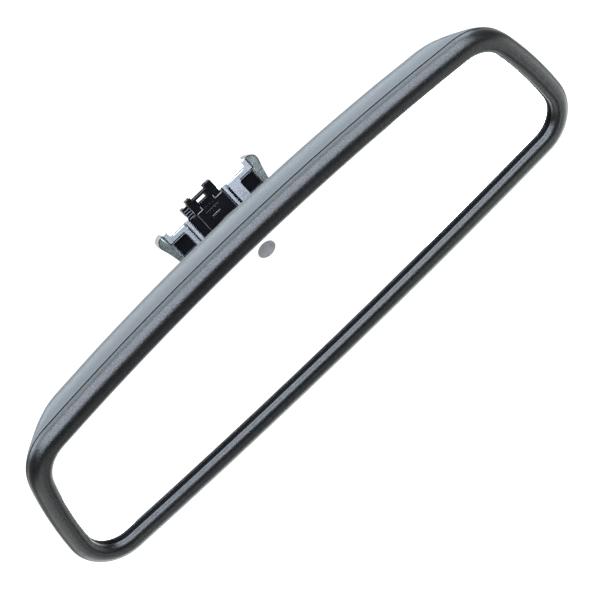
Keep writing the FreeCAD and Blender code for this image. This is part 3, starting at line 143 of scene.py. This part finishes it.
def metal(name, colour, rough, stretch=(1, 1, 1), scale=300.0, strength=0.25):
    shader = Shader(name)
    slow = shader.noise(scale=60.0, detail=4.0, rough=0.6)
    fine = shader.noise(scale=scale, detail=3.0, rough=0.6, stretch=stretch)
    shader.set(Base_Color=shader.ramp(slow, WIDE, varied(colour, variation=0.08)), Metallic=1.0)
    shader.set(Roughness=shader.remap(shader.mix(slow, fine, share=0.4), NARROW, rough))
    shader.set(Normal=shader.bump(fine, strength, depth=0.00003))
    return shader


def mirror(name, colour):
    shader = Shader(name)
    haze = shader.noise(scale=9.0, detail=3.0)
    dimmed = tuple(x * 0.985 for x in colour)
    shader.set(Base_Color=shader.ramp(haze, WIDE, (dimmed, colour)), Metallic=1.0)
    shader.set(Roughness=shader.remap(haze, WIDE, (0.015, 0.03)))


def paint_lit_faces(shader, colour, toward):
    # faces looking along toward get a near-white painted highlight, the light falling on them,
    # brighter than the cast skin
    skin = shader.bsdf.inputs["Base Color"].links[0].from_socket
    normal = shader.node("ShaderNodeTexCoord").outputs["Normal"]
    facing = shader.node("ShaderNodeVectorMath", {0: normal, 1: toward}, operation="DOT_PRODUCT")
    # cosines between which cast skin turns to the painted lit face
    lit_face_mask = shader.node("ShaderNodeMapRange", {
        "From Min": 0.96, "From Max": 0.99, "Value": facing.outputs["Value"]})
    both = shader.node("ShaderNodeMix", {0: lit_face_mask.outputs[0], 6: skin, 7: (*colour, 1)},
                       data_type="RGBA")
    shader.set(Base_Color=both.outputs[2])


# ---------------------------------------------------------------- materials
GLOSSY = dict(grain=900.0, depth=0.00001, strength=0.1)  # almost no grain
MOULDED = dict(depth=0.00002, strength=0.3)              # shallow connector grain
SHALLOW = dict(depth=0.00003, strength=0.3)
CAST = dict(scale=900.0, strength=0.3)                   # fine cast skin

plastic("bezel_plastic", (0.0004, 0.00045, 0.0005), rough=(0.27, 0.35), grain=2300.0,
        depth=0.00008, strength=0.9, variation=0.2, specular=0.15, speckle=0.22)
plastic("housing_plastic", (0.0048, 0.0051, 0.0052), rough=(0.36, 0.43), grain=3400.0,
        variation=0.08, specular=0.17, **SHALLOW)
plastic("lip_rubber", (0.0006, 0.0006, 0.0007), rough=(0.42, 0.52), grain=1500.0,
        depth=0.00002, strength=0.15, variation=0.15, specular=0.008)
mirror("mirror_face", (0.93, 0.94, 0.95))
mirror("mirror_rear", (0.85, 0.87, 0.89))
plastic("cell_gel", (0.6, 0.65, 0.66), rough=(0.1, 0.2), **GLOSSY)
plastic("cell_epoxy", (0.2, 0.16, 0.07), rough=(0.3, 0.4), grain=900.0)
metal("contact_copper", (0.8, 0.5, 0.33), rough=(0.25, 0.4))
plastic("foam", (0.05, 0.05, 0.055), rough=(0.8, 0.95), grain=1200.0, depth=0.0003, strength=0.9)
plastic("sensor_grey", (0.042, 0.040, 0.041), rough=(0.26, 0.32), depth=0.00002,
        strength=0.25, variation=0.3, specular=0.35)
plastic("carrier_plastic", (0.03, 0.03, 0.034), rough=(0.45, 0.55), grain=1800.0)
plastic("liner_acetal", (0.75, 0.73, 0.68), rough=(0.3, 0.4), grain=1500.0,
        variation=0.03, **SHALLOW)
metal("zinc_steel", (0.62, 0.64, 0.66), rough=(0.28, 0.42))
metal("spring_steel", (0.075, 0.082, 0.078), rough=(0.2, 0.32), stretch=(1, 14, 1),
      scale=240.0, strength=0.3)
cast_bracket = metal("cast_bracket", (0.086, 0.089, 0.095), rough=(0.34, 0.44), **CAST)
metal("stud_steel", (0.55, 0.56, 0.58), rough=(0.22, 0.34), scale=500.0)
plastic("board_green", (0.02, 0.1, 0.045), rough=(0.25, 0.35), grain=700.0,
        variation=0.2, **SHALLOW)
plastic("chip_black", (0.015, 0.015, 0.017), rough=(0.5, 0.6), grain=3000.0)
metal("can_aluminium", (0.72, 0.73, 0.75), rough=(0.3, 0.4))
plastic("diode_clear", (0.35, 0.3, 0.18), rough=(0.1, 0.2), **GLOSSY)
plastic("connector_black", (0.0004, 0.0004, 0.0006), rough=(0.26, 0.34),
        variation=0.2, specular=0.02, **MOULDED)
plastic("header_white", (0.6, 0.58, 0.5), rough=(0.4, 0.5), grain=1800.0,
        variation=0.04, **SHALLOW)
plastic("lead_sheath", (0.012, 0.012, 0.013), rough=(0.4, 0.5), grain=1500.0)
plastic("trim_rubber", (0.01, 0.01, 0.011), rough=(0.5, 0.6), grain=1500.0)
metal("pin_tin", (0.75, 0.75, 0.74), rough=(0.15, 0.25))
plastic("lens_smoke", (0.008, 0.008, 0.01), rough=(0.06, 0.12), variation=0.1, **GLOSSY)

slots = {part["node"]: part["material_slot"] for part in frame["record"]["subparts"]}
for name, ob in nodes.items():
    ob.data.materials.clear()
    ob.data.materials.append(materials[slots[name]])

# edge and line materials, painted shade and painted highlights
# painted shade: a dark colour for the rounded edges of the spring clips
metal("bracket_edge_shade", (0.022, 0.023, 0.027), rough=(0.34, 0.44), **CAST)
# painted highlight: a lighter colour for the rounded edges of the connector pieces
plastic("connector_edge_sheen", (0.006, 0.006, 0.0065), rough=(0.3, 0.4), variation=0.2, **MOULDED)
# painted shade: the dark colour laid in gaps and along rib edges
metal("painted_gap_shade", (0.004, 0.0042, 0.005), rough=(0.4, 0.5), **CAST)
# painted highlights: light lines laid along connector and lock edges
plastic("highlight_paint_bright", (0.034, 0.035, 0.036), rough=(0.35, 0.45), variation=0.3,
        specular=0.22, **MOULDED)
plastic("highlight_paint_dim", (0.007, 0.0073, 0.008), rough=(0.35, 0.45), variation=0.3,
        specular=0.12, **MOULDED)
# painted highlight: the bracket faces toward the mount's +Z are painted near white
paint_lit_faces(cast_bracket, colour=(0.88, 0.89, 0.91), toward=(0, 0.5, 0.866))  # the mount's +Z
# painted shade: a dark line along the clips' outer edges
metal("clip_outline_shade", (0.012, 0.013, 0.013), rough=(0.3, 0.42), **CAST)


# ---------------------------------------------------------------- rounded edges
def soften(name, width, edge):
    # rounds the sharp edges and gives the rounding its own material, a painted edge colour (painted
    # shade on the clips, a painted highlight on the connector pieces)
    ob = nodes[name]
    ob.data.materials.append(materials[edge])
    weld = ob.modifiers.new("join", "WELD")
    weld.merge_threshold = 1e-6
    bevel = ob.modifiers.new("round", "BEVEL")
    bevel.width = width
    bevel.segments = 2
    bevel.limit_method = "ANGLE"
    bevel.angle_limit = math.radians(35)
    bevel.use_clamp_overlap = True
    bevel.harden_normals = True
    bevel.material = 1


# piece, rounding width in metres, painted edge material
for name, width, edge in (
    ("spring_clip_left", 0.00022, "bracket_edge_shade"),
    ("spring_clip_right", 0.00022, "bracket_edge_shade"),
    ("connector_housing", 0.00018, "connector_edge_sheen"),
    ("connector_lock", 0.0001, "connector_edge_sheen"),
    ("window_inserts", 0.00025, "connector_edge_sheen"),
):
    soften(name, width, edge)

# ---------------------------------------------------------------- painted shade and highlight lines laid on the mount
# All in mm in the mount's frame. Each face is given by its y.
MM = 0.001
MOUNT_TURN = Matrix.Rotation(math.radians(-30), 4, "X")
BRACKET = -12.0
RIB = BRACKET - 1.5
CLIP = BRACKET - 0.9
CONNECTOR = BRACKET - 1.7
RECESS = CONNECTOR + 0.9
LOCK = CONNECTOR - 0.6
PROUD = 0.03  # how far a line stands in front of its face
SUNK = 0.05   # how far it reaches behind it


def mount_point(x, y, z):
    return MOUNT_TURN @ Vector((x, y, z)) * MM


def add_line(name, bm, material, body):
    mesh = bpy.data.meshes.new(name)
    bm.to_mesh(mesh)
    bm.free()
    ob = bpy.data.objects.new(name, mesh)
    scene.collection.objects.link(ob)
    mesh.materials.append(materials[material])
    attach(ob, body)


def ribbon(name, points, width, face, side):
    # a dark band of painted shade along a polyline of (x, z), widening inward; side -1 mirrors it
    # to the left
    bm = bmesh.new()
    rows = []
    for i, (x, z) in enumerate(points):
        before = Vector(points[max(i - 1, 0)])
        after = Vector(points[min(i + 1, len(points) - 1)])
        along = (after - before).normalized()
        inward = Vector((-along.y, along.x))
        corners = ((0.0, -PROUD), (width, -PROUD), (width, SUNK), (0.0, SUNK))
        rows.append([
            bm.verts.new(mount_point(side * (x + inward.x * step), face + dy, z + inward.y * step))
            for step, dy in corners])
    for row, following in zip(rows, rows[1:]):
        for k in range(4):
            j = (k + 1) % 4
            bm.faces.new((row[k], row[j], following[j], following[k]))
    bm.faces.new(rows[0])
    bm.faces.new(rows[-1][::-1])
    bmesh.ops.recalc_face_normals(bm, faces=bm.faces)
    add_line(name, bm, "clip_outline_shade", "mount")


def bars(name, material, boxes, body="mount"):
    # boxes are (x0, x1, z0, z1, face)
    bm = bmesh.new()
    for x0, x1, z0, z1, face in boxes:
        for vert in bmesh.ops.create_cube(bm, size=1.0)["verts"]:
            x, y, z = vert.co
            vert.co = mount_point((x0 + x1) / 2 + x * (x1 - x0),
                                  face + (SUNK - PROUD) / 2 + y * (SUNK + PROUD),
                                  (z0 + z1) / 2 + z * (z1 - z0))
    add_line(name, bm, material, body)


# (x, z) up the outer edge of the right clip and in over its top, where a line of painted shade is
# laid
CLIP_OUTLINE = [
    (25.1, -3.4), (25.62, -1.6), (25.86, -0.6), (25.98, 0.35), (25.88, 1.0),
    (25.48, 1.68), (24.95, 2.15), (24.35, 2.52), (23.4, 2.84), (22.5, 3.0),
]
for name, side in (("clip_edge_right", 1), ("clip_edge_left", -1)):
    ribbon(name, CLIP_OUTLINE, width=0.3, face=CLIP, side=side)

# painted shade in the gaps beside and below each hook
bars("hook_shade_right", "painted_gap_shade", [
    (22.0, 22.37, -2.2, 2.6, BRACKET),
    (15.2, 22.37, -2.2, -1.72, BRACKET),
])
bars("hook_shade_left", "painted_gap_shade", [
    (-22.37, -22.0, -2.2, 2.6, BRACKET),
    (-22.37, -14.9, -2.2, -1.72, BRACKET),
])
# painted shade: dark lines along the rib and groove edges
bars("bracket_rib_shade_lines", "painted_gap_shade", [
    (-12.3, -12.1, -12.0, 0.0, RIB),
    (-10.85, -10.65, -12.0, 0.0, RIB),
    (8.98, 9.05, -12.0, 0.0, BRACKET),
    (10.0, 10.12, -12.0, 0.0, BRACKET),
])
# painted highlights along the edges of the connector moulding
bars("connector_painted_highlights", "highlight_paint_bright", [
    (-6.4, -3.6, -0.46, -0.17, CONNECTOR),
    (3.0, 6.3, -0.46, -0.17, CONNECTOR),
    (-3.78, -3.54, -0.1, 1.1, RECESS),
    (2.9, 3.12, -0.1, 1.1, RECESS),
    (-2.45, 1.5, -4.88, -4.66, CONNECTOR),
])
# dimmer painted highlights along further connector edges
bars("connector_dim_painted_highlights", "highlight_paint_dim", [
    (-3.5, 2.9, -2.29, -2.12, CONNECTOR),
    (-6.85, -6.55, -12.4, -0.5, CONNECTOR),
    (6.98, 7.22, -12.4, -0.5, CONNECTOR),
    (-0.85, -0.55, -3.55, -3.3, CONNECTOR),
])
LOCK_PITCH = 1.17
# painted highlights on the lock's ribs
bars("lock_painted_highlights", "highlight_paint_bright", [
    (-9.9, -7.5, 0.25 + i * LOCK_PITCH, 0.44 + i * LOCK_PITCH, LOCK) for i in range(4)
], body="lock")


# ---------------------------------------------------------------- floor and world
def add_floor(half_width, height):
    mesh = bpy.data.meshes.new("floor")
    bm = bmesh.new()
    bmesh.ops.create_grid(bm, x_segments=1, y_segments=1, size=half_width)
    bm.to_mesh(mesh)
    bm.free()
    floor = bpy.data.objects.new("floor", mesh)
    floor.location = (0, 0, height)
    scene.collection.objects.link(floor)
    shader = Shader("floor_white")
    greys = ((0.21, 0.21, 0.21), (0.22, 0.22, 0.22))
    shader.set(Base_Color=shader.ramp(shader.noise(scale=2.0), WIDE, greys),
               Roughness=0.9, Specular_IOR_Level=0.0,
               Emission_Color=(1, 1, 1, 1), Emission_Strength=0.9)
    mesh.materials.append(shader.material)


add_floor(half_width=14.0, height=-1.2)

world = bpy.data.worlds.new("studio")
scene.world = world
world.use_nodes = True
background = world.node_tree.nodes["Background"]
background.inputs["Color"].default_value = (1, 1, 1, 1)
background.inputs["Strength"].default_value = 0.6

# ---------------------------------------------------------------- lights
LIGHT_TARGET = Vector((0, -0.063, -0.013))


def area(name, target, offset, size, radiance, colour):
    light = bpy.data.lights.new(name, "AREA")
    light.shape = "RECTANGLE"
    light.size, light.size_y = size
    light.energy = radiance * math.pi * size[0] * size[1]
    light.color = colour
    ob = bpy.data.objects.new(name, light)
    ob.location = target + offset
    ob.rotation_euler = (target - (target + offset)).to_track_quat("-Z", "Y").to_euler()
    scene.collection.objects.link(ob)


def panel(name, tilt, distance, **light):
    # a light swung round the mirror's long axis, tilt in degrees forward of straight up
    angle = math.radians(tilt)
    offset = Vector((0, -math.sin(angle), math.cos(angle))) * distance
    area(name, LIGHT_TARGET, offset, **light)


panel("softbox_main", tilt=15, distance=0.66, size=(1.3, 0.93), radiance=27.0,
      colour=(0.82, 0.91, 1.03))
panel("softbox_rear", tilt=-49, distance=0.62, size=(1.3, 0.84), radiance=9.0,
      colour=(0.80, 0.92, 1.02))
# weak fills from under the mirror and from low off each end
panel("fill_under", tilt=178, distance=0.62, size=(1.3, 0.42), radiance=4.0,
      colour=(0.93, 1.0, 0.99))
for name, side in (("fill_left", -1), ("fill_right", 1)):
    area(name, Vector((0.1 * side, *LIGHT_TARGET.yz)), Vector((0.56 * side, -0.40, -0.42)),
         size=(1.1, 0.8), radiance=4.6, colour=(0.92, 1.0, 0.97))

# ---------------------------------------------------------------- camera
HEAD_CENTRE = Vector((0, -0.06335, -0.01265))
AIM_SHIFT = Vector((-0.002376, 0, -0.00506))
DISTANCE = 0.6
ELEVATION = math.radians(40)
AZIMUTH = math.radians(5.296)  # swing from -Y toward -X
ROLL = math.radians(40.388)

camera = bpy.data.cameras.new("camera")
camera.sensor_width = 36.0
camera.lens = 95.94
camera.clip_start = 0.01
camera_object = bpy.data.objects.new("camera", camera)
back = Vector((-math.sin(AZIMUTH) * math.cos(ELEVATION),
               -math.cos(AZIMUTH) * math.cos(ELEVATION),
               math.sin(ELEVATION)))
right = (-back).cross(Vector((0, 0, 1))).normalized()
up = right.cross(-back)
rolled_right = right * math.cos(ROLL) - up * math.sin(ROLL)
rolled_up = right * math.sin(ROLL) + up * math.cos(ROLL)
pose = Matrix((rolled_right, rolled_up, back)).transposed().to_4x4()
pose.translation = HEAD_CENTRE + AIM_SHIFT + back * DISTANCE
camera_object.matrix_world = pose
scene.collection.objects.link(camera_object)
scene.camera = camera_object
scene.view_settings.view_transform = "Standard"
